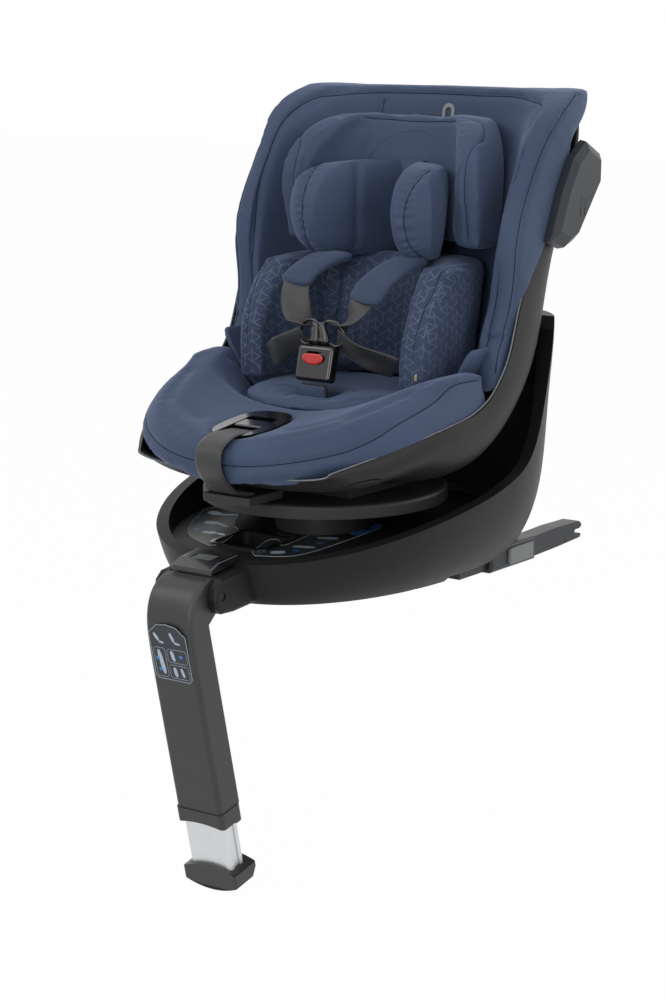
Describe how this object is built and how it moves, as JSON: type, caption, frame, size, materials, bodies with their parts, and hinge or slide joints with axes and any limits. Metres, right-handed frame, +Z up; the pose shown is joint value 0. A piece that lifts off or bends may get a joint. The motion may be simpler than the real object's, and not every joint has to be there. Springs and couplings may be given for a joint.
{
  "type": "convertible car seat",
  "caption": "Navy convertible child car seat with a reclining bucket on a swivel base, support leg and two rigid anchor arms.",
  "frame": {"origin": "on the swivel axis, in the plane of the base's underside", "axes": "+X to the seated child's left, -Y the way the child faces, +Z up along the swivel axis"},
  "size_m": [0.466, 0.6674, 0.9345],
  "materials": {
    "shell_black": "matt, fine moulded grain",
    "base_black": "matt, fine moulded grain",
    "gloss_black": "gloss",
    "fabric_navy": "smooth knit with a soft sheen",
    "fabric_pattern": "knit with a fine raised line pattern",
    "webbing_black": "woven polyester webbing with a shine",
    "pod_charcoal": "matt",
    "button_grey": "satin",
    "button_red": "satin",
    "aluminium": "satin anodised",
    "steel": "zinc plated",
    "display": "clear over a grey-green display",
    "rubber": "matt",
    "arm_blue_grey": "satin"
  },
  "bodies": {
    "base": {"base_lower_shell": "base_black", "base_upper_cover": "base_black", "deck_pocket_frame": "base_black", "swivel_bearing_housing": "base_black", "leg_hinge_pin": "steel", "leg_joint_lid": "gloss_black", "display_window": "display", "base_grip_pads": "rubber"},
    "turntable": {"turntable_disc": "base_black", "recline_cradle": "base_black", "recline_rails": "steel", "swivel_retainer": "steel"},
    "seat": {"seat_shell": "shell_black", "seat_cushion": "fabric_navy", "back_cushion": "fabric_navy", "body_insert": "fabric_pattern", "seat_insert": "fabric_navy", "side_pod_left": "pod_charcoal", "side_pod_right": "pod_charcoal", "buckle_body": "gloss_black", "harness_tongue_left": "steel", "harness_tongue_right": "steel", "shoulder_strap_left": "webbing_black", "shoulder_strap_right": "webbing_black", "lap_strap_left": "webbing_black", "lap_strap_right": "webbing_black", "shoulder_pad_left": "fabric_navy", "shoulder_pad_right": "fabric_navy", "crotch_strap": "webbing_black", "crotch_pad": "fabric_navy", "adjuster_housing": "gloss_black", "adjuster_pin": "steel", "adjuster_strap": "webbing_black"},
    "headrest": {"headrest_pad": "fabric_navy", "head_pillow": "fabric_navy", "headrest_frame": "shell_black"},
    "pull_ring": {"headrest_pull_ring": "button_grey"},
    "buckle_push": {"buckle_button": "button_red"},
    "adjuster": {"adjuster_lever": "steel"},
    "recline_lever": {"recline_handle": "shell_black"},
    "paddle_left": {"swivel_paddle_left": "shell_black"},
    "paddle_right": {"swivel_paddle_right": "shell_black"},
    "leg": {"leg_sleeve": "base_black", "leg_front_cover": "base_black", "leg_collar": "base_black"},
    "leg_push": {"leg_height_button": "gloss_black"},
    "leg_inner": {"leg_tube": "aluminium", "foot_cap": "base_black", "foot_sole": "rubber"},
    "arm_left": {"anchor_arm_left": "arm_blue_grey", "hook_pin_left": "steel"},
    "hook_left": {"anchor_hook_left": "steel"},
    "push_outer_left": {"release_button_outer_left": "button_grey"},
    "push_inner_left": {"release_button_inner_left": "button_grey"},
    "arm_right": {"anchor_arm_right": "arm_blue_grey", "hook_pin_right": "steel"},
    "hook_right": {"anchor_hook_right": "steel"},
    "push_outer_right": {"release_button_outer_right": "button_grey"},
    "push_inner_right": {"release_button_inner_right": "button_grey"}
  },
  "joints": [
    {"name": "seat_swivel", "type": "hinge", "parent": "base", "child": "turntable", "pos_m": [0, 0, 0.1], "axis": [0, 0, 1], "continuous": true},
    {"name": "seat_recline", "type": "hinge", "parent": "turntable", "child": "seat", "pos_m": [0, 0, 0.33], "axis": [-1, 0, 0], "range_deg": [0, 10]},
    {"name": "headrest_height", "type": "slide", "parent": "seat", "child": "headrest", "axis": [0, 0.225, 0.9744], "range_m": [0, 0.12]},
    {"name": "headrest_pull", "type": "slide", "parent": "headrest", "child": "pull_ring", "axis": [0, 0.225, 0.9744], "range_m": [0, 0.008], "stiffness_N_per_m": 250},
    {"name": "buckle_press", "type": "slide", "parent": "seat", "child": "buckle_push", "axis": [0, 0.9703, -0.2419], "range_m": [0, 0.003], "stiffness_N_per_m": 700},
    {"name": "adjuster_lever_press", "type": "hinge", "parent": "seat", "child": "adjuster", "pos_m": [0, -0.13586, 0.19785], "axis": [1, 0, 0], "range_deg": [0, 9], "stiffness_Nm_per_rad": 0.25},
    {"name": "recline_pull", "type": "slide", "parent": "seat", "child": "recline_lever", "axis": [0, -1, 0], "range_m": [0, 0.012], "stiffness_N_per_m": 400},
    {"name": "swivel_paddle_left_press", "type": "slide", "parent": "seat", "child": "paddle_left", "axis": [-1, 0, 0], "range_m": [0, 0.0025], "stiffness_N_per_m": 500},
    {"name": "swivel_paddle_right_press", "type": "slide", "parent": "seat", "child": "paddle_right", "axis": [1, 0, 0], "range_m": [0, 0.0025], "stiffness_N_per_m": 500},
    {"name": "leg_fold", "type": "hinge", "parent": "base", "child": "leg", "pos_m": [0, -0.262, 0.022], "axis": [1, 0, 0], "range_deg": [0, 76.5]},
    {"name": "leg_length", "type": "slide", "parent": "leg", "child": "leg_inner", "axis": [0, 0.23, -0.9732], "range_m": [-0.028, 0.13]},
    {"name": "leg_height_press", "type": "slide", "parent": "leg", "child": "leg_push", "axis": [0, -0.9732, -0.23], "range_m": [0, 0.002], "stiffness_N_per_m": 500},
    {"name": "anchor_arm_left_slide", "type": "slide", "parent": "base", "child": "arm_left", "axis": [0, 1, 0], "range_m": [-0.09, 0]},
    {"name": "anchor_hook_left_turn", "type": "hinge", "parent": "arm_left", "child": "hook_left", "pos_m": [0.14, 0.322, -0.0035], "axis": [1, 0, 0], "range_deg": [0, 12], "stiffness_Nm_per_rad": 0.05},
    {"name": "release_outer_left", "type": "slide", "parent": "arm_left", "child": "push_outer_left", "axis": [-1, 0, 0], "range_m": [0, 0.003], "stiffness_N_per_m": 400},
    {"name": "release_inner_left", "type": "slide", "parent": "arm_left", "child": "push_inner_left", "axis": [1, 0, 0], "range_m": [0, 0.003], "stiffness_N_per_m": 400},
    {"name": "anchor_arm_right_slide", "type": "slide", "parent": "base", "child": "arm_right", "axis": [0, 1, 0], "range_m": [-0.09, 0]},
    {"name": "anchor_hook_right_turn", "type": "hinge", "parent": "arm_right", "child": "hook_right", "pos_m": [-0.14, 0.322, -0.0035], "axis": [1, 0, 0], "range_deg": [0, 12], "stiffness_Nm_per_rad": 0.05},
    {"name": "release_outer_right", "type": "slide", "parent": "arm_right", "child": "push_outer_right", "axis": [1, 0, 0], "range_m": [0, 0.003], "stiffness_N_per_m": 400},
    {"name": "release_inner_right", "type": "slide", "parent": "arm_right", "child": "push_inner_right", "axis": [-1, 0, 0], "range_m": [0, 0.003], "stiffness_N_per_m": 400}
  ]
}
